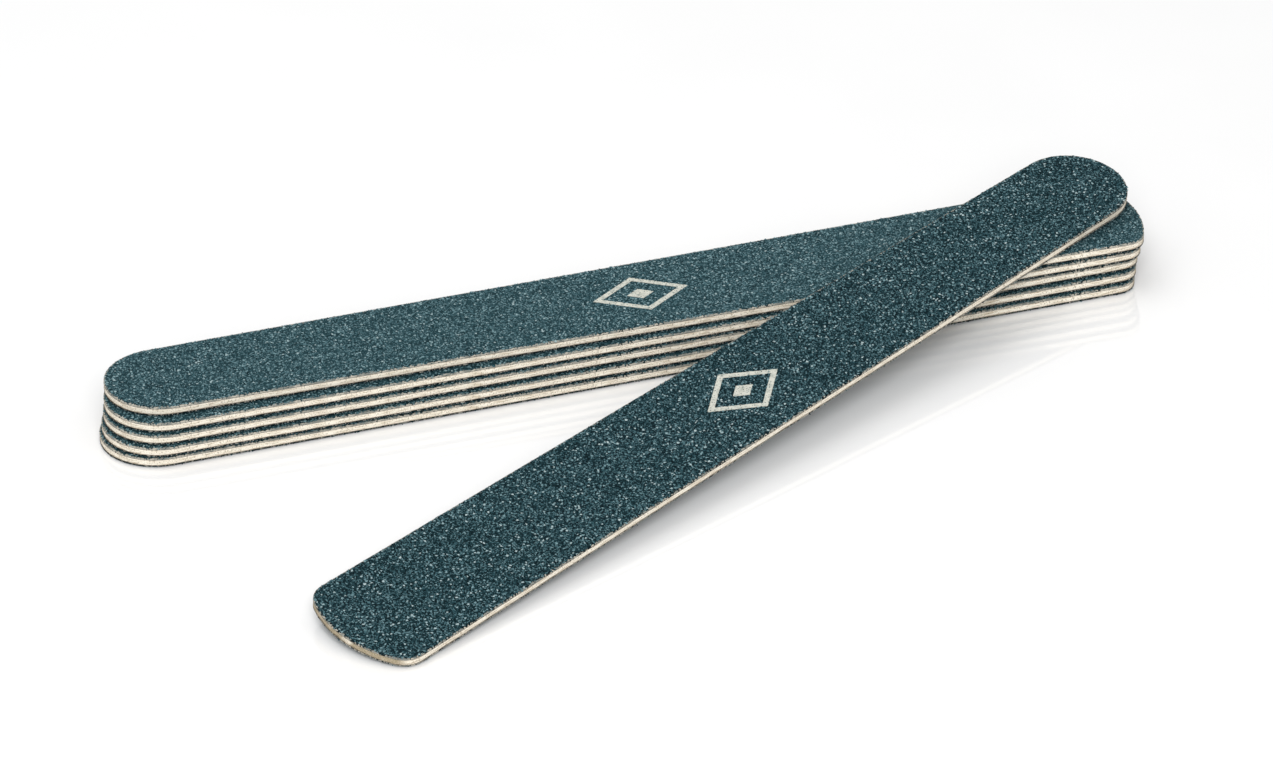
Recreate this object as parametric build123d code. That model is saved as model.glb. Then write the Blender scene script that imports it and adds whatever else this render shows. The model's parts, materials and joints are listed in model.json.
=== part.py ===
from build123d import *
import math
import os

# Six loose emery boards: five lie in an uneven stack and the sixth leans on it.
# The row's origin is the middle of the base board's underside, +X runs along the
# base board towards its wide end, and +Z points up.

# One board, seen from above with its wide end at -X.
LENGTH = 178.0
WIDE_HALF_WIDTH = 11.0
WIDE_END_RADIUS = 20.0
WIDE_CORNER_RADIUS = 4.0
NARROW_END_RADIUS = 9.3

# Its layers, from the underside up. The mark is an ink film on the upper sheet.
SHEET_THICKNESS = 0.40
GLUE_THICKNESS = 0.05
CORE_THICKNESS = 0.90
BOARD_THICKNESS = CORE_THICKNESS + 2 * (GLUE_THICKNESS + SHEET_THICKNESS)
INK_THICKNESS = 0.02

# The printed mark: a rhombus drawn in line, with a small solid one inside it. Its middle
# is a little nearer to the wide end than the board's middle is.
MARK_LENGTH = 16.5
MARK_WIDTH = 11.0
MARK_ALONG = -1.2
MARK_LINE_SCALE = 0.80
MARK_HEART_SCALE = 0.28

# The stack. Each board lies a hair above the ink of the one below it.
STACK_GAP = 0.04
STACK = [
    # name, along X, across Y, turn about Z in degrees
    ("base_board", 0.0, 0.0, 0.0),
    ("second_board", 0.4, 0.2, 0.2),
    ("third_board", 0.9, 0.85, 0.25),
    ("fourth_board", 1.25, 1.0, -0.1),
    ("top_board", 1.85, 1.95, -0.75),
]
STACK_HEIGHT = len(STACK) * BOARD_THICKNESS + (len(STACK) - 1) * STACK_GAP

# The leaning board. Its middle is placed from the middle of the top board's front
# edge, along that edge and down the slope; its turn is from the same edge.
LEAN_ALONG = 8.3
LEAN_DOWN_SLOPE = 21.9
LEAN_TURN = 27.5
LEAN_CLEARANCE = 0.03


def corner_centre():
    """Centre of the rounded corner at the wide end, on the +Y side."""
    y = WIDE_HALF_WIDTH - WIDE_CORNER_RADIUS
    reach = math.sqrt((WIDE_END_RADIUS - WIDE_CORNER_RADIUS) ** 2 - y**2)
    return Vector(-LENGTH / 2 + WIDE_END_RADIUS - reach, y)


def on_circle(centre, radius, angle):
    return centre + Vector(math.cos(angle), math.sin(angle)) * radius


def board_outline():
    """A long tapered outline: a shallow arc at the wide end, a round narrow end."""
    corner = corner_centre()
    narrow = Vector(LENGTH / 2 - NARROW_END_RADIUS, 0)
    wide = Vector(-LENGTH / 2 + WIDE_END_RADIUS, 0)

    # The straight side is tangent to the corner's circle and to the narrow end's.
    span = narrow - corner
    lean = math.acos((WIDE_CORNER_RADIUS - NARROW_END_RADIUS) / span.length)
    side_angle = math.atan2(span.Y, span.X) + lean
    end_angle = math.atan2(corner.Y - wide.Y, corner.X - wide.X)

    end_point = on_circle(corner, WIDE_CORNER_RADIUS, end_angle)
    corner_middle = on_circle(corner, WIDE_CORNER_RADIUS, (end_angle + side_angle) / 2)
    side_start = on_circle(corner, WIDE_CORNER_RADIUS, side_angle)
    side_end = on_circle(narrow, NARROW_END_RADIUS, side_angle)

    def below(point):
        return Vector(point.X, -point.Y)

    edges = [
        ThreePointArc(below(end_point), Vector(-LENGTH / 2, 0), end_point),
        ThreePointArc(end_point, corner_middle, side_start),
        Line(side_start, side_end),
        ThreePointArc(side_end, Vector(LENGTH / 2, 0), below(side_end)),
        Line(below(side_end), below(side_start)),
        ThreePointArc(below(side_start), below(corner_middle), below(end_point)),
    ]
    return make_face(edges)


def layer(face, bottom, thickness):
    return Pos(0, 0, bottom) * extrude(face, amount=thickness, dir=(0, 0, 1))


def rhombus(scale):
    x = MARK_LENGTH / 2 * scale
    y = MARK_WIDTH / 2 * scale
    outline = Polyline((-x, 0), (0, -y), (x, 0), (0, y), close=True)
    return Pos(MARK_ALONG, 0, 0) * make_face(outline)


def board_pieces():
    """The six pieces of one board, with its underside at z = 0."""
    outline = board_outline()
    core_bottom = SHEET_THICKNESS + GLUE_THICKNESS
    core_top = core_bottom + CORE_THICKNESS
    mark = rhombus(1.0) - rhombus(MARK_LINE_SCALE) + rhombus(MARK_HEART_SCALE)
    return {
        "lower_abrasive_sheet": layer(outline, 0, SHEET_THICKNESS),
        "lower_glue_film": layer(outline, SHEET_THICKNESS, GLUE_THICKNESS),
        "core": layer(outline, core_bottom, CORE_THICKNESS),
        "upper_glue_film": layer(outline, core_top, GLUE_THICKNESS),
        "upper_abrasive_sheet": layer(outline, core_top + GLUE_THICKNESS, SHEET_THICKNESS),
        "printed_mark": layer(mark, BOARD_THICKNESS, INK_THICKNESS),
    }


def stack_place(level):
    """Where a stacked board lies, its wide end towards +X."""
    _, along, across, turn = STACK[level]
    height = level * (BOARD_THICKNESS + STACK_GAP)
    return Pos(along, across, height) * Rot(0, 0, turn + 180)


def leaning_place():
    """Underside on the top board's front edge, lowest corner on the ground."""
    taper = (WIDE_HALF_WIDTH - NARROW_END_RADIUS) / LENGTH
    middle_half_width = (WIDE_HALF_WIDTH + NARROW_END_RADIUS) / 2
    _, along, across, turn = STACK[-1]
    top = Pos(along, across, STACK_HEIGHT) * Rot(0, 0, turn)
    edge_middle = (top * Pos(0, -middle_half_width, 0)).position
    edge_turn = math.radians(turn) - math.atan(taper)
    edge = Vector(math.cos(edge_turn), math.sin(edge_turn), 0)

    # Down the slope from the edge to the lowest point of the rounded corner.
    turned = math.radians(LEAN_TURN)
    corner = corner_centre()
    rise = corner.X * math.sin(turned) - corner.Y * math.cos(turned)
    slope_length = LEAN_DOWN_SLOPE - rise + WIDE_CORNER_RADIUS
    tilt = math.asin(STACK_HEIGHT / slope_length)

    level_uphill = Vector(-edge.Y, edge.X, 0)
    uphill = level_uphill * math.cos(tilt) + Vector(0, 0, math.sin(tilt))
    normal = edge.cross(uphill)
    centre = edge_middle + edge * LEAN_ALONG - uphill * LEAN_DOWN_SLOPE
    length_way = edge * math.cos(turned) + uphill * math.sin(turned)
    return Plane(centre + normal * LEAN_CLEARANCE, x_dir=length_way, z_dir=normal).location


os.makedirs("parts", exist_ok=True)
places = {STACK[level][0]: stack_place(level) for level in range(len(STACK))}
places["leaning_board"] = leaning_place()
for board_name, place in places.items():
    for piece_name, piece in board_pieces().items():
        export_step(place * piece, f"parts/{board_name}_{piece_name}.step")
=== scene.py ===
import json
import math

import bmesh
import bpy
import numpy as np
from mathutils import Matrix, Vector

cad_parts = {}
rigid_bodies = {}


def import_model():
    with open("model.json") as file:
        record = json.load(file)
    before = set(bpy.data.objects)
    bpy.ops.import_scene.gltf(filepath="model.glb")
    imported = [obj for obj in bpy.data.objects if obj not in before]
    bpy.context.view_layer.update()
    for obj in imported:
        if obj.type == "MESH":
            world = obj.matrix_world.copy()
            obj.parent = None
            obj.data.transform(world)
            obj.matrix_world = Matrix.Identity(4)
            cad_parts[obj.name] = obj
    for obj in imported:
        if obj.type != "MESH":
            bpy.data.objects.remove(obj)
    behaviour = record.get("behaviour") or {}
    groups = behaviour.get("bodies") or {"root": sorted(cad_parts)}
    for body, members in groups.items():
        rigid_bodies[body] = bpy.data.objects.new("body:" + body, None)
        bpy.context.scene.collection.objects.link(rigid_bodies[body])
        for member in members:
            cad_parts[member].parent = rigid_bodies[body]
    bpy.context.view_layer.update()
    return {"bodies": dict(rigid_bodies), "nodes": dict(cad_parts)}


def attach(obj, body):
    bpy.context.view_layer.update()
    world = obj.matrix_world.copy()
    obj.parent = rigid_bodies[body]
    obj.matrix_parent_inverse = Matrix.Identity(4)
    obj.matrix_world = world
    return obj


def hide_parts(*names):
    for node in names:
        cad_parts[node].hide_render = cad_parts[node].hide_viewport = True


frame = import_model()


# ---- The wooden cores -------------------------------------------------------------
# Each board is built on a thin slat of pale whitewood, stamped out so that its edge is
# raw. Along its sides the fibres run with the cut; across its ends they are cut through.
MM = 0.001
BOARDS = list(frame["bodies"])
FLAT_ANGLE = math.radians(1)
SAME_POINT = 0.0001 * MM


def upper_face(node):
    """The corners of a flat plate's upper face, in order round it, and its normal."""
    plate = bmesh.new()
    plate.from_mesh(frame["nodes"][node].data)
    bmesh.ops.remove_doubles(plate, verts=plate.verts, dist=SAME_POINT)
    bmesh.ops.dissolve_limit(
        plate, angle_limit=FLAT_ANGLE, verts=plate.verts, edges=plate.edges
    )
    upper = max(plate.faces, key=lambda face: face.calc_area() * (face.normal.z > 0))
    corners = np.array([loop.vert.co for loop in upper.loops])
    normal = np.array(upper.normal)
    plate.free()
    return corners, normal


def middle_of(values):
    """Halfway between the lowest and the highest of the values."""
    return (values.min() + values.max()) / 2


def board_place(board):
    """The matrix that puts a board made about its own middle where it lies.

    Its own X runs towards the narrow round end, Y across it and Z up through it.
    """
    corners, up = upper_face(f"{board}_core")
    sides = np.roll(corners, -1, axis=0) - corners
    longest = np.argsort(np.linalg.norm(sides, axis=1))[-2:]
    along = sides[longest[0]] - sides[longest[1]]
    along -= up * (along @ up)
    along /= np.linalg.norm(along)
    across = np.cross(up, along)
    offset = corners @ across - middle_of(corners @ across)
    widest = corners[np.argmax(np.abs(offset))]
    if widest @ along > middle_of(corners @ along):
        along, across = -along, -across
    depth = np.array([v.co for v in frame["nodes"][f"{board}_core"].data.vertices]) @ up
    middle = (
        along * middle_of(corners @ along)
        + across * middle_of(corners @ across)
        + up * middle_of(depth)
    )
    place = Matrix.Identity(4)
    for column, values in enumerate((along, across, up, middle)):
        for row in range(3):
            place[row][column] = values[row]
    return place


PLACES = {board: board_place(board) for board in BOARDS}


def local_points(piece):
    """The corners of the first board's CAD piece, in that board's own frame."""
    home = PLACES[BOARDS[0]].inverted()
    node = frame["nodes"][f"{BOARDS[0]}_{piece}"]
    return np.array([home @ v.co for v in node.data.vertices])


def board_outline(step):
    """The boards' outline in their own frame, with no edge longer than step."""
    corners, _ = upper_face(f"{BOARDS[0]}_core")
    home = PLACES[BOARDS[0]].inverted()
    corners = np.array([home @ Vector(corner) for corner in corners])[:, :2]
    points = []
    for here, there in zip(corners, np.roll(corners, -1, axis=0)):
        pieces = max(1, math.ceil(np.linalg.norm(there - here) / step))
        points += [here + (there - here) * i / pieces for i in range(pieces)]
    return np.array(points)


def outward(points):
    """The outward direction at each point of an outline that runs anticlockwise."""
    run = np.roll(points, -1, axis=0) - points
    run /= np.linalg.norm(run, axis=1)[:, None]
    turn = run + np.roll(run, 1, axis=0)
    turn /= np.linalg.norm(turn, axis=1)[:, None]
    return np.stack([turn[:, 1], -turn[:, 0]], axis=1)


def ring(points, normals, inset, height):
    """The outline drawn in by inset, one value or one for each point, at height."""
    drawn = points - normals * np.broadcast_to(inset, len(points))[:, None]
    return np.column_stack([drawn, np.broadcast_to(height, len(points))])


def lofted(name, rings, hollow=False):
    """A closed mesh through rings of equally many points.

    It is capped below the first ring and above the last, or where it is hollow the
    last ring joins the first.
    """
    count, layers = len(rings[0]), len(rings)
    start = np.arange(count)
    after = np.roll(start, -1)
    faces = [] if hollow else [start[::-1].tolist(), (start + (layers - 1) * count).tolist()]
    for layer in range(layers if hollow else layers - 1):
        low, high = layer * count, (layer + 1) % layers * count
        faces += np.stack([low + start, low + after, high + after, high + start], 1).tolist()
    mesh = bpy.data.meshes.new(name)
    mesh.from_pydata(np.concatenate(rings).tolist(), [], faces)
    return mesh


def note(mesh, name, values):
    """Stores one number, or one vector, at each point of a mesh for its material."""
    values = np.asarray(values, np.float32)
    kind, field = ("FLOAT", "value") if values.ndim == 1 else ("FLOAT_VECTOR", "vector")
    mesh.attributes.new(name, kind, "POINT").data.foreach_set(field, values.ravel())


def note_places(mesh):
    """Keeps each point's place in its board's own frame, for patterns that follow it."""
    places = np.empty(len(mesh.vertices) * 3, np.float32)
    mesh.vertices.foreach_get("co", places)
    note(mesh, "board_place", places.reshape(-1, 3))


def add_piece(name, mesh, place):
    """An object at the origin whose mesh lies where its board is."""
    mesh.transform(place)
    mesh.validate()
    piece = bpy.data.objects.new(name, mesh)
    bpy.context.scene.collection.objects.link(piece)
    return piece


def rough_line(rng, count, length):
    """Random numbers between -1 and 1 round a closed line, evened over length points."""
    window = np.hanning(length + 2)
    raw = np.tile(rng.normal(size=count), 3)
    evened = np.convolve(raw, window, mode="same")[count : 2 * count]
    return np.clip(evened / (np.linalg.norm(window) * 2), -1, 1)


class Value:
    """A node's output. Python's operators on it add Math nodes to its tree."""

    def __init__(self, tree, socket):
        self.tree = tree
        self.socket = socket

    def maths(self, operation, *operands):
        sockets = dict(enumerate(operands))
        return self.tree.get("ShaderNodeMath", 0, {"operation": operation}, sockets)

    def __add__(self, other):
        return self.maths("ADD", self, other)

    def __sub__(self, other):
        return self.maths("SUBTRACT", self, other)

    def __rsub__(self, other):
        return self.maths("SUBTRACT", other, self)

    def __mul__(self, other):
        return self.maths("MULTIPLY", self, other)

    def __truediv__(self, other):
        return self.maths("DIVIDE", self, other)

    def __rtruediv__(self, other):
        return self.maths("DIVIDE", other, self)

    def between(self, low, high):
        """0 below low, 1 above high and a smooth step between them."""
        settings = {"interpolation_type": "SMOOTHSTEP"}
        sockets = {"Value": self, "From Min": low, "From Max": high}
        return self.tree.get("ShaderNodeMapRange", 0, settings, sockets)

    __radd__ = __add__
    __rmul__ = __mul__


class Tree:
    """A node tree being written. Every node is made by add: settings, then sockets."""

    def __init__(self, tree):
        self.tree = tree

    def add(self, kind, settings, sockets):
        node = self.tree.nodes.new(kind)
        for name, value in settings.items():
            if name == "stops":
                self.set_stops(node.color_ramp, value)
            else:
                setattr(node, name, value)
        for key, value in sockets.items():
            self.feed(node.inputs[key], value)
        return node

    def get(self, kind, output, settings, sockets):
        return Value(self, self.add(kind, settings, sockets).outputs[output])

    def feed(self, socket, value):
        if isinstance(value, Value):
            self.tree.links.new(value.socket, socket)
        else:
            socket.default_value = value

    def set_stops(self, ramp, stops):
        while len(ramp.elements) < len(stops):
            ramp.elements.new(0.5)
        for element, (position, colour) in zip(ramp.elements, stops):
            element.position = position
            element.color = colour

    def colours(self, amount, first, second):
        """first turned into second by amount."""
        sockets = {0: amount, 6: first, 7: second}
        return self.get("ShaderNodeMix", 2, {"data_type": "RGBA"}, sockets)

    def noted(self, name, output="Fac"):
        return self.get("ShaderNodeAttribute", output, {"attribute_name": name}, {})

    def noise(self, place, patch, detail=2.0, stretch=(1, 1, 1)):
        """Noise whose patches are so many metres wide, drawn out along each axis."""
        size = [1 / (patch * part) for part in stretch]
        settings = {"operation": "MULTIPLY"}
        scaled = self.get("ShaderNodeVectorMath", 0, settings, {0: place, 1: size})
        sockets = {"Vector": scaled, "Scale": 1.0, "Detail": detail}
        return self.get("ShaderNodeTexNoise", "Fac", {}, sockets)


def new_material(name):
    """A material, its tree and its Principled shader."""
    material = bpy.data.materials.new(name)
    material.use_nodes = True
    shader = material.node_tree.nodes["Principled BSDF"]
    return material, Tree(material.node_tree), shader


CORE_STEP = 0.45 * MM
CORE_ROWS = 7
CORE_ARRIS = 0.05 * MM
CORE_SEED = 100

# Along the sides the cut leaves long shallow furrows, and across the ends short tears.
FIBRE_DEPTH = 0.045 * MM
FIBRE_POINTS = 16
TORN_DEPTH = 0.10 * MM
TORN_POINTS = 3

# How brown the narrow end is, beside the wide end's full brown.
NARROW_END_SHARE = 0.35
FIBRE_WIDTH = 0.12 * MM
FIBRE_STRETCH = (20, 20, 1)
STAIN_PATCH = 2.5 * MM
PORE_SIZE = 0.22 * MM
WOOD_RELIEF = {"Strength": 0.6, "Distance": 0.04 * MM}

SIDE_WOOD = (0.62, 0.53, 0.40, 1)
PALE_WOOD = (0.92, 0.86, 0.74, 1)
END_WOOD = (0.32, 0.27, 0.17, 1)
SPECK_WOOD = (0.26, 0.19, 0.12, 1)


def core_mesh(rng):
    points = board_outline(CORE_STEP)
    normals = outward(points)
    top = local_points("core")[:, 2].max()
    end_grain = normals[:, 0] ** 2
    rings = []
    for share in np.linspace(-1, 1, CORE_ROWS):
        fibres = np.abs(rough_line(rng, len(points), FIBRE_POINTS)) * FIBRE_DEPTH
        torn = np.abs(rough_line(rng, len(points), TORN_POINTS)) * TORN_DEPTH
        inset = fibres * (1 - end_grain) + torn * end_grain
        if abs(share) == 1:
            inset = inset + CORE_ARRIS
        rings.append(ring(points, normals, inset, share * top))
    mesh = lofted("core", rings)
    browned = end_grain * np.where(normals[:, 0] < 0, 1.0, NARROW_END_SHARE)
    note(mesh, "end_grain", np.tile(browned, len(rings)))
    note_places(mesh)
    return mesh


def wood_material():
    material, tree, shader = new_material("raw_whitewood")
    place = tree.noted("board_place", "Vector")
    end_grain = tree.noted("end_grain").between(0.25, 0.8)
    fibres = tree.noise(place, FIBRE_WIDTH, 3.0, FIBRE_STRETCH)
    patches = tree.noise(place, STAIN_PATCH)
    pores = tree.noise(place, PORE_SIZE)
    side = tree.colours(fibres.between(0.34, 0.56), SIDE_WOOD, PALE_WOOD)
    end = tree.colours(pores.between(0.40, 0.66), END_WOOD, SIDE_WOOD)
    cut = tree.colours(end_grain * patches.between(0.25, 0.5), side, end)
    specks = pores.between(0.56, 0.64) * (0.60 + end_grain * 0.25)
    tree.feed(shader.inputs["Base Color"], tree.colours(specks, cut, SPECK_WOOD))
    relief = fibres * (1 - end_grain) + pores * end_grain
    bump = {**WOOD_RELIEF, "Height": relief}
    tree.feed(shader.inputs["Normal"], tree.get("ShaderNodeBump", 0, {}, bump))
    tree.feed(shader.inputs["Roughness"], 0.72 + patches * 0.15)
    shader.inputs["Specular IOR Level"].default_value = 0.2
    return material


wood = wood_material()
for number, board in enumerate(BOARDS):
    mesh = core_mesh(np.random.default_rng(CORE_SEED + number))
    core = add_piece(f"{board}_wooden_core", mesh, PLACES[board])
    core.data.materials.append(wood)
    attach(core, board)
    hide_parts(f"{board}_core")


# ---- The glue films ---------------------------------------------------------------
# A skin of dried adhesive under each sheet, which shows only as a hairline at the edge.
# The film is rolled on evenly, so its plain shape is right and only its finish is new.
GLUE_THIN = (0.22, 0.18, 0.13, 1)
GLUE_THICK = (0.10, 0.08, 0.06, 1)
GLUE_RUN = 0.4 * MM


def glue_material():
    material, tree, shader = new_material("dry_glue")
    place = tree.get("ShaderNodeTexCoord", "Object", {}, {})
    runs = tree.noise(place, GLUE_RUN)
    film = tree.colours(runs.between(0.35, 0.65), GLUE_THIN, GLUE_THICK)
    tree.feed(shader.inputs["Base Color"], film)
    tree.feed(shader.inputs["Roughness"], 0.4 + runs * 0.3)
    return material


glue = glue_material()
for board in BOARDS:
    for side in ("lower", "upper"):
        film = frame["nodes"][f"{board}_{side}_glue_film"]
        film.material_slots[0].material = glue


# ---- The abrasive sheets ----------------------------------------------------------
# Coated paper: a pale backing, a coat of near-black resin, a bed of fine blue-green grit
# and paler crystals standing out of it, the palest partly painted glints. The stamped edge
# is rubbed and shows its paper.
SHEET_STEP = 0.6 * MM
RAGGED_DEPTH = 0.03 * MM
RAGGED_POINTS = 3

# The resin lies this far under the tips of the grit, and rolls down towards the rim: how
# far in from the edge, and how far down there, in millimetres.
COAT_DEPTH = 0.11 * MM
RIM_INSETS = (0.0, 0.12, 0.3, 0.55, 0.9)
RIM_DROPS = (0.07, 0.03, 0.01, 0.0, 0.0)

BACKING = (0.52, 0.49, 0.42, 1)
BACKING_SOILED = (0.22, 0.23, 0.21, 1)
RESIN = (0.002, 0.009, 0.012, 1)
RESIN_THIN = (0.008, 0.026, 0.032, 1)
RESIN_DUSTY = (0.020, 0.052, 0.062, 1)
# The palest grit tones are partly the grit's own colour and partly painted highlights:
# crystal facets that catch the light, painted pale.
GRIT_AND_GLINT_COLOURS = (
    (0.00, (0.003, 0.014, 0.018, 1)),
    (0.30, (0.020, 0.058, 0.071, 1)),
    (0.60, (0.074, 0.150, 0.172, 1)),
    (0.85, (0.190, 0.305, 0.332, 1)),
    (1.00, (0.440, 0.540, 0.550, 1)),
)
GRIT_GLEAM = (0.4, 0.85, 1.0, 1)

levels = local_points("upper_abrasive_sheet")[:, 2]
SHEET_BOTTOM, SHEET_TOP = levels.min(), levels.max()


def sheet_mesh(rng, wear, dust):
    """The backing and its resin, without grit, about the board's own middle."""
    points = board_outline(SHEET_STEP)
    normals = outward(points)
    coat_top = SHEET_TOP - COAT_DEPTH
    ragged = np.abs(rough_line(rng, len(points), RAGGED_POINTS)) * RAGGED_DEPTH
    rings = [ring(points, normals, ragged, SHEET_BOTTOM)]
    for inset, drop in zip(RIM_INSETS, RIM_DROPS):
        rings.append(ring(points, normals, ragged + inset * MM, coat_top - drop * MM))
    mesh = lofted("sheet", rings)
    note(mesh, "rim", np.repeat((0.0, *RIM_INSETS), len(points)))
    note(mesh, "wear", np.full(len(mesh.vertices), wear))
    note(mesh, "dust", np.full(len(mesh.vertices), dust))
    note_places(mesh)
    return mesh


def random_range(tree, kind, low, high, seed):
    """A random number, whole number or vector for each instance."""
    first, output = {"FLOAT_VECTOR": (0, 0), "FLOAT": (2, 1), "INT": (4, 2)}[kind]
    sockets = {first: low, first + 1: high, "Seed": seed}
    return tree.get("FunctionNodeRandomValue", output, {"data_type": kind}, sockets)


def crystal_shapes(tree, kinds, radius, height):
    """Sharp crystals, one for each number of sides, as instances to pick from."""
    bag = tree.add("GeometryNodeGeometryToInstance", {}, {})
    for sides in kinds:
        sockets = {
            "Vertices": sides,
            "Radius Top": 0.0,
            "Radius Bottom": radius,
            "Depth": height,
        }
        crystal = tree.get("GeometryNodeMeshCone", "Mesh", {"fill_type": "NGON"}, sockets)
        tree.feed(bag.inputs[0], crystal)
    return Value(tree, bag.outputs[0])


# Grains are offered to every place more than once, so that they settle close together.
# They thin out to none over the last of the rim, and each is tipped and sized by chance.
GRAINS_OFFERED = 2.5
BARE_RIM = 0.30
LEAST_TIP, MOST_TIP = (-0.5, -0.5, 0), (0.5, 0.5, math.tau)
LEAST_SCALE, MOST_SCALE = (0.75, 0.6, 0.5), (1.25, 1.1, 1.1)


def scattered(tree, sheet, kinds, spacing, width, height, tones, seed):
    """Crystals strewn over the upper side of a sheet, each with a tone of its own."""
    noted = {"data_type": "FLOAT"}
    rim = tree.get("GeometryNodeInputNamedAttribute", 0, noted, {"Name": "rim"})
    sockets = {
        "Mesh": sheet,
        "Distance Min": spacing,
        "Density Max": GRAINS_OFFERED / (spacing * spacing),
        "Density Factor": rim.between(0.0, BARE_RIM),
        "Seed": seed,
    }
    poisson = {"distribute_method": "POISSON"}
    points = tree.get("GeometryNodeDistributePointsOnFaces", 0, poisson, sockets)
    sockets = {
        "Points": points,
        "Instance": crystal_shapes(tree, kinds, width * 0.5, height),
        "Pick Instance": True,
        "Instance Index": random_range(tree, "INT", 0, len(kinds) - 1, seed + 1),
        "Rotation": random_range(tree, "FLOAT_VECTOR", LEAST_TIP, MOST_TIP, seed + 2),
        "Scale": random_range(tree, "FLOAT_VECTOR", LEAST_SCALE, MOST_SCALE, seed + 3),
    }
    crystals = tree.get("GeometryNodeInstanceOnPoints", 0, {}, sockets)
    sockets = {
        "Geometry": crystals,
        "Name": "tone",
        "Value": random_range(tree, "FLOAT", *tones, seed + 4),
    }
    on_instances = {"data_type": "FLOAT", "domain": "INSTANCE"}
    return tree.get("GeometryNodeStoreNamedAttribute", 0, on_instances, sockets)


GRIT_INPUTS = {
    "Sheet": "NodeSocketGeometry",
    "Bed Spacing": "NodeSocketFloat",
    "Bed Darkest": "NodeSocketFloat",
    "Bed Palest": "NodeSocketFloat",
    "Crystal Spacing": "NodeSocketFloat",
    "Crystal Width": "NodeSocketFloat",
    "Crystal Darkest": "NodeSocketFloat",
    "Crystal Palest": "NodeSocketFloat",
    "Height": "NodeSocketFloat",
    "Ceiling": "NodeSocketFloat",
    "Seed": "NodeSocketInt",
}


# The bed's grains are wider than they are apart, so they overlap, and lower than the
# crystals. All of them are sunk a little way into the resin.
BED_SIDES, BED_OVERLAP, BED_HEIGHT = (3,), 2.25, 0.65
CRYSTAL_SIDES = (4, 3)
SUNK_SHARE = 0.1
CRYSTAL_SEED_STEP = 10


def grit_nodes(grit_finish):
    """Geometry nodes that coat a sheet with grit and press it level."""
    group = bpy.data.node_groups.new("grit_coat", "GeometryNodeTree")
    for name, kind in GRIT_INPUTS.items():
        group.interface.new_socket(name, in_out="INPUT", socket_type=kind)
    group.interface.new_socket("Sheet", in_out="OUTPUT", socket_type="NodeSocketGeometry")
    tree = Tree(group)
    entry = tree.add("NodeGroupInput", {}, {})
    given = {name: Value(tree, entry.outputs[name]) for name in GRIT_INPUTS}
    sheet, height, seed = given["Sheet"], given["Height"], given["Seed"]
    bed_spacing = given["Bed Spacing"]
    bed = scattered(
        tree, sheet, BED_SIDES, bed_spacing, bed_spacing * BED_OVERLAP, height * BED_HEIGHT,
        (given["Bed Darkest"], given["Bed Palest"]), seed,
    )
    crystals = scattered(
        tree, sheet, CRYSTAL_SIDES, given["Crystal Spacing"], given["Crystal Width"], height,
        (given["Crystal Darkest"], given["Crystal Palest"]), seed + CRYSTAL_SEED_STEP,
    )
    grit = tree.add("GeometryNodeJoinGeometry", {}, {0: bed})
    tree.feed(grit.inputs[0], crystals)
    real = tree.get("GeometryNodeRealizeInstances", 0, {}, {0: Value(tree, grit.outputs[0])})
    where = tree.get("GeometryNodeInputPosition", 0, {}, {})
    apart = tree.add("ShaderNodeSeparateXYZ", {}, {0: where})
    x, y, z = (Value(tree, output) for output in apart.outputs)
    level = z.maths("MINIMUM", z - height * SUNK_SHARE, given["Ceiling"])
    pressed_to = tree.get("ShaderNodeCombineXYZ", 0, {}, {0: x, 1: y, 2: level})
    sockets = {"Geometry": real, "Position": pressed_to}
    pressed = tree.get("GeometryNodeSetPosition", 0, {}, sockets)
    sockets = {"Geometry": pressed, "Material": grit_finish}
    finished = tree.get("GeometryNodeSetMaterial", 0, {}, sockets)
    whole = tree.add("GeometryNodeJoinGeometry", {}, {0: finished})
    tree.feed(whole.inputs[0], sheet)
    tree.add("NodeGroupOutput", {}, {0: Value(tree, whole.outputs[0])})
    return group


RESIN_SPECK = 0.30 * MM
SOIL_PATCH = 1.1 * MM
RESIN_RELIEF = {"Strength": 0.8, "Distance": 0.06 * MM}


def backing_material():
    material, tree, shader = new_material("abrasive_backing_and_resin")
    place = tree.noted("board_place", "Vector")
    rim = tree.noted("rim")
    specks = tree.noise(place, RESIN_SPECK)
    soil = tree.noise(place, SOIL_PATCH)
    # More wear shows more pale paper on the rims. The stacked boards' lower sheets get no
    # wear, so their rims stay dark: painted shade for the gap under each board.
    rubbed = specks + (soil - 0.5) * 0.5 - rim * 0.6 + tree.noted("wear") * 0.14
    worn = rubbed.between(0.54, 0.62)
    paper = tree.colours(soil.between(0.35, 0.65), BACKING, BACKING_SOILED)
    resin = tree.colours(specks.between(0.40, 0.65), RESIN, RESIN_THIN)
    resin = tree.colours(tree.noted("dust") * soil.between(0.2, 0.6), resin, RESIN_DUSTY)
    tree.feed(shader.inputs["Base Color"], tree.colours(worn, resin, paper))
    bump = {**RESIN_RELIEF, "Height": specks}
    tree.feed(shader.inputs["Normal"], tree.get("ShaderNodeBump", 0, {}, bump))
    tree.feed(shader.inputs["Roughness"], 0.6 + worn * 0.2)
    shader.inputs["Specular IOR Level"].default_value = 0.04
    return material


def grit_material():
    material, tree, shader = new_material("blue_green_grit")
    tone = tree.noted("tone")
    shade = tree.get("ShaderNodeValToRGB", 0, {"stops": GRIT_AND_GLINT_COLOURS}, {"Fac": tone})
    tree.feed(shader.inputs["Base Color"], shade)
    tree.feed(shader.inputs["Roughness"], 0.35 + tone * 0.2)
    shader.inputs["Specular IOR Level"].default_value = 0.06
    shader.inputs["Specular Tint"].default_value = GRIT_GLEAM
    return material


backing = backing_material()
scatter = grit_nodes(grit_material())
socket_of = {
    item.name: item.identifier
    for item in scatter.interface.items_tree
    if item.in_out == "INPUT"
}
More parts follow.
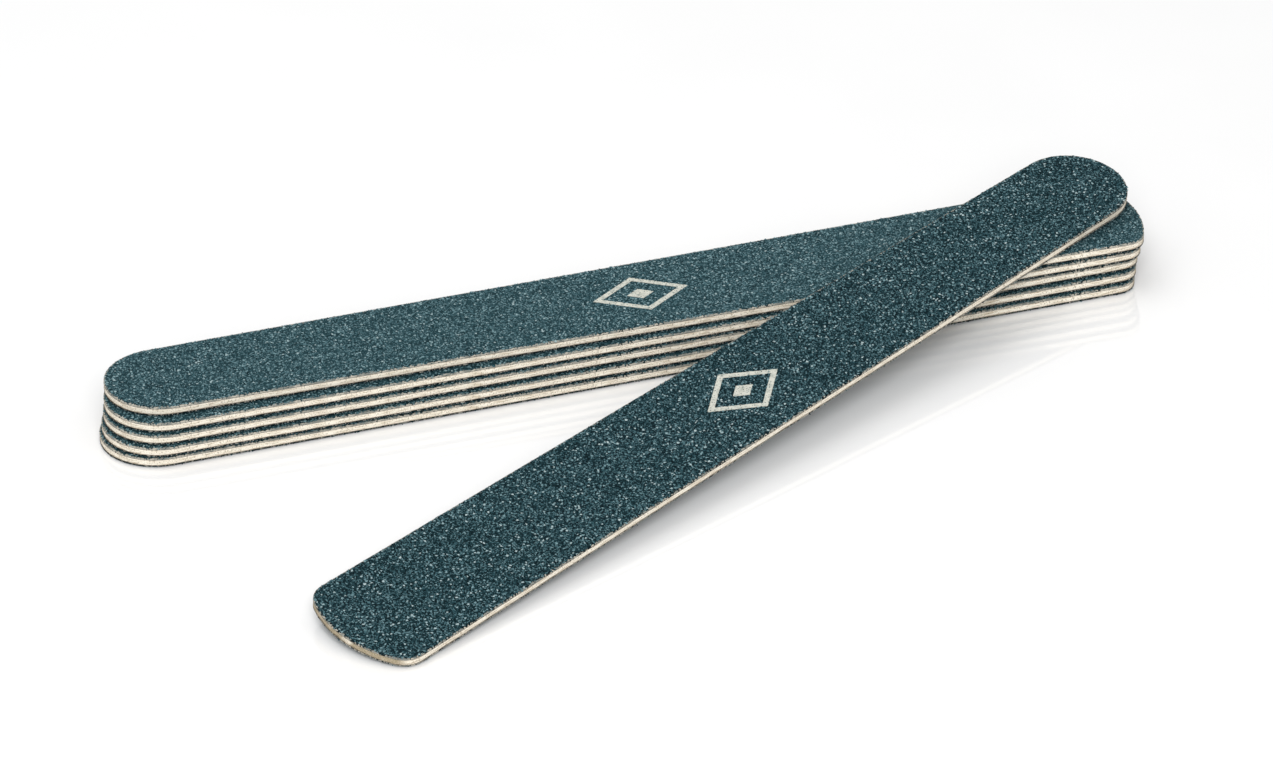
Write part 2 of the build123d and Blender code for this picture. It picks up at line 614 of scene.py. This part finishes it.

# The two upper faces that lie open have fine grit, and all the others a coarser make. The
# leaning board is crisp and new. The stacked ones are dusty, and worn along their upper
# rims; their lower sheets keep dark unrubbed rims, painted shade for the dark gap under
# each board.
OPEN_FACE = {"Bed Spacing": 0.225 * MM, "Crystal Spacing": 0.39 * MM}
COVERED_FACE = {"Bed Spacing": 0.29 * MM, "Crystal Spacing": 0.42 * MM}
BED_TONES = ("Bed Darkest", "Bed Palest")
CRYSTAL_TONES = ("Crystal Darkest", "Crystal Palest")
CRISP_GRIT = dict(zip(BED_TONES + CRYSTAL_TONES, (0.0, 0.75, 0.25, 1.0)))
DUSTY_GRIT = dict(zip(BED_TONES + CRYSTAL_TONES, (0.1, 0.83, 0.36, 0.95)))
GRIT_SIZES = {"Crystal Width": 0.63 * MM, "Height": 0.17 * MM, "Ceiling": float(SHEET_TOP)}
PAINTED_SHADE_WEAR, FRESH_WEAR, OLD_WEAR = 0.0, 0.8, 1.4


def gritted_sheet(name, seed, wear, dust, sizes, place):
    """One coated sheet as a plain mesh, where it lies on its board."""
    mesh = sheet_mesh(np.random.default_rng(seed), wear, dust)
    mesh.materials.append(backing)
    blank = bpy.data.objects.new("blank_sheet", mesh)
    bpy.context.scene.collection.objects.link(blank)
    coat = blank.modifiers.new("grit", "NODES")
    coat.node_group = scatter
    for size, value in {**GRIT_SIZES, **sizes, "Seed": seed}.items():
        coat[socket_of[size]] = value
    depsgraph = bpy.context.evaluated_depsgraph_get()
    coated = bpy.data.meshes.new_from_object(
        blank.evaluated_get(depsgraph), preserve_all_data_layers=True, depsgraph=depsgraph
    )
    bpy.data.objects.remove(blank)
    coated.materials.pop(index=list(coated.materials).index(None))
    return add_piece(name, coated, place)


OPEN_SHEETS = [("top_board", "upper"), ("leaning_board", "upper")]
FACE_DOWN = Matrix.Rotation(math.pi, 4, "X")
SHEET_SEED, BOARD_SEED_STEP, UPPER_SEED_STEP = 200, 40, 20
for number, board in enumerate(BOARDS):
    for side in ("lower", "upper"):
        face = OPEN_FACE if (board, side) in OPEN_SHEETS else COVERED_FACE
        fresh = board == "leaning_board"
        sizes = {**face, **(CRISP_GRIT if fresh else DUSTY_GRIT)}
        place = PLACES[board] if side == "upper" else PLACES[board] @ FACE_DOWN
        seed = SHEET_SEED + BOARD_SEED_STEP * number + UPPER_SEED_STEP * (side == "upper")
        name = f"{board}_{side}_grit_sheet"
        dust = side == "upper" and not fresh
        pressed = side == "lower" and not fresh
        wear = PAINTED_SHADE_WEAR if pressed else FRESH_WEAR if fresh else OLD_WEAR
        sheet = gritted_sheet(name, seed, wear, dust, sizes, place)
        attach(sheet, board)
        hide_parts(f"{board}_{side}_abrasive_sheet")


# ---- The printed marks ------------------------------------------------------------
# A plain diamond and a smaller solid one inside it, screen printed near the middle of
# each upper face. The cream ink lies over the crystals and leaves some of them bare.
MARK_LINE_SCALE = 0.80
MARK_HEART_SCALE = 0.28
INK_CELL = 0.16 * MM
INK_SEED = 900

# How far the ink reaches down between the crystals, how far its top sinks there, and how
# far its edge draws in, as a share of the mark's size.
INK_ROOT = 0.08 * MM
INK_HOLLOW = 0.075 * MM
INK_SPREAD = 0.012
INK_PATCH = 0.9 * MM
INK_SPECK = 0.28 * MM
INK_RELIEF = {"Strength": 0.5, "Distance": 0.05 * MM}

INK = (0.62, 0.62, 0.55, 1)
INK_THIN = (0.45, 0.47, 0.42, 1)
INK_BARE = (0.03, 0.06, 0.065, 1)

mark_low = local_points("printed_mark").min(axis=0)
mark_high = local_points("printed_mark").max(axis=0)
MARK_MIDDLE = ((mark_low + mark_high) / 2)[:2]
MARK_HALF = ((mark_high - mark_low) / 2)[:2]
INK_TOP = mark_high[2]


def diamond_ring(rng, scale, height, count):
    """The mark's diamond drawn at a scale, as a ring of points with an uneven edge."""
    corners = np.array([(1, 0), (0, 1), (-1, 0), (0, -1)]) * MARK_HALF * scale
    shares = np.linspace(0, 1, count, endpoint=False)[:, None]
    ends = np.roll(corners, -1, axis=0)
    points = np.concatenate([a + (b - a) * shares for a, b in zip(corners, ends)])
    points *= 1 + INK_SPREAD * rng.uniform(-1, 0, len(points))[:, None]
    return np.column_stack([MARK_MIDDLE + points, np.broadcast_to(height, len(points))])


def ink_mesh(rng):
    count = math.ceil(np.linalg.norm(MARK_HALF) / INK_CELL)
    narrow = MARK_HALF.prod() / np.linalg.norm(MARK_HALF)
    rows = math.ceil(narrow * (1 - MARK_LINE_SCALE) / INK_CELL)
    root = SHEET_TOP - INK_ROOT

    def tops(high, low, rows):
        return [
            diamond_ring(rng, scale, INK_TOP - INK_HOLLOW * rng.random(4 * count) ** 2, count)
            for scale in np.linspace(high, low, rows)
        ]

    line_rings = [
        diamond_ring(rng, 1.0, root, count),
        *tops(1.0, MARK_LINE_SCALE, rows + 1),
        diamond_ring(rng, MARK_LINE_SCALE, root, count),
    ]
    count = math.ceil(count * MARK_HEART_SCALE)
    rows = math.ceil(narrow * MARK_HEART_SCALE / INK_CELL)
    heart_rings = [
        diamond_ring(rng, MARK_HEART_SCALE, root, count),
        *tops(MARK_HEART_SCALE, MARK_HEART_SCALE / rows, rows),
    ]
    both = bmesh.new()
    both.from_mesh(lofted("line", line_rings, hollow=True))
    both.from_mesh(lofted("heart", heart_rings))
    mesh = bpy.data.meshes.new("printed_ink")
    both.to_mesh(mesh)
    both.free()
    note_places(mesh)
    return mesh


def ink_material():
    material, tree, shader = new_material("cream_ink")
    place = tree.noted("board_place", "Vector")
    cover = tree.noise(place, INK_PATCH)
    specks = tree.noise(place, INK_SPECK, 1.0)
    film = tree.colours(cover.between(0.3, 0.6), INK_THIN, INK)
    bare = specks.between(0.63, 0.68)
    tree.feed(shader.inputs["Base Color"], tree.colours(bare, film, INK_BARE))
    bump = {**INK_RELIEF, "Height": specks}
    tree.feed(shader.inputs["Normal"], tree.get("ShaderNodeBump", 0, {}, bump))
    tree.feed(shader.inputs["Roughness"], 0.75 - bare * 0.2)
    shader.inputs["Specular IOR Level"].default_value = 0.2
    return material


ink = ink_material()
for number, board in enumerate(BOARDS):
    mesh = ink_mesh(np.random.default_rng(INK_SEED + number))
    mark = add_piece(f"{board}_ink_diamonds", mesh, PLACES[board])
    mark.data.materials.append(ink)
    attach(mark, board)
    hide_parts(f"{board}_printed_mark")


# ---- The floor, the light and the camera ------------------------------------------
# A plain white floor with a faint gloss, lit by a white room, a broad softbox overhead and
# a stronger one in front, and seen from above through a long lens.
FLOOR_HALF = 2.0
FLOOR_WHITE = (0.97, 0.97, 0.97, 1)
FLOOR_SCUFF = (0.955, 0.955, 0.955, 1)
SCUFF_PATCH = 40 * MM


def floor_material():
    material, tree, shader = new_material("white_floor")
    place = tree.get("ShaderNodeTexCoord", "Object", {}, {})
    scuffs = tree.noise(place, SCUFF_PATCH)
    white = tree.colours(scuffs.between(0.3, 0.7), FLOOR_WHITE, FLOOR_SCUFF)
    tree.feed(shader.inputs["Base Color"], white)
    shader.inputs["Roughness"].default_value = 0.05
    shader.inputs["Specular IOR Level"].default_value = 1.0
    return material


floor_corners = np.array([(-1, -1, 0), (1, -1, 0), (1, 1, 0), (-1, 1, 0)]) * FLOOR_HALF
floor_mesh = bpy.data.meshes.new("floor")
floor_mesh.from_pydata(floor_corners.tolist(), [], [range(4)])
floor = bpy.data.objects.new("floor", floor_mesh)
bpy.context.scene.collection.objects.link(floor)
floor.data.materials.append(floor_material())


def softbox(name, place, size, power):
    """A round lamp of so many metres and watts, aimed at the middle of the stack."""
    lamp = bpy.data.lights.new(name, "AREA")
    lamp.shape = "DISK"
    lamp.size = size
    lamp.energy = power
    light = bpy.data.objects.new(name, lamp)
    light.location = place
    light.rotation_euler = (-Vector(place)).to_track_quat("-Z", "Y").to_euler()
    bpy.context.scene.collection.objects.link(light)


softbox("overhead", (-0.20, 0.30, 0.9), 0.8, 2.0)
softbox("front_fill", (-0.30, -0.9, 0.75), 0.7, 7.5)
world = bpy.data.worlds.new("white_room")
world.use_nodes = True
room = world.node_tree.nodes["Background"]
room.inputs["Color"].default_value = (1, 1, 1, 1)
room.inputs["Strength"].default_value = 0.67
bpy.context.scene.world = world
bpy.context.scene.view_settings.view_transform = "Standard"

AIM = Vector((-1.6, -8.95, 0)) * MM
VIEW_AZIMUTH = math.radians(-20.04)
VIEW_ELEVATION = math.radians(30.8)
VIEW_DISTANCE = 0.942
LENS_MM = 163.9
lens = bpy.data.cameras.new("camera")
lens.lens = LENS_MM
lens.sensor_width = 36
camera = bpy.data.objects.new("camera", lens)
back = Vector((
    math.sin(VIEW_AZIMUTH) * math.cos(VIEW_ELEVATION),
    -math.cos(VIEW_AZIMUTH) * math.cos(VIEW_ELEVATION),
    math.sin(VIEW_ELEVATION),
))
camera.location = AIM + back * VIEW_DISTANCE
camera.rotation_euler = (-back).to_track_quat("-Z", "Y").to_euler()
bpy.context.scene.collection.objects.link(camera)
bpy.context.scene.camera = camera
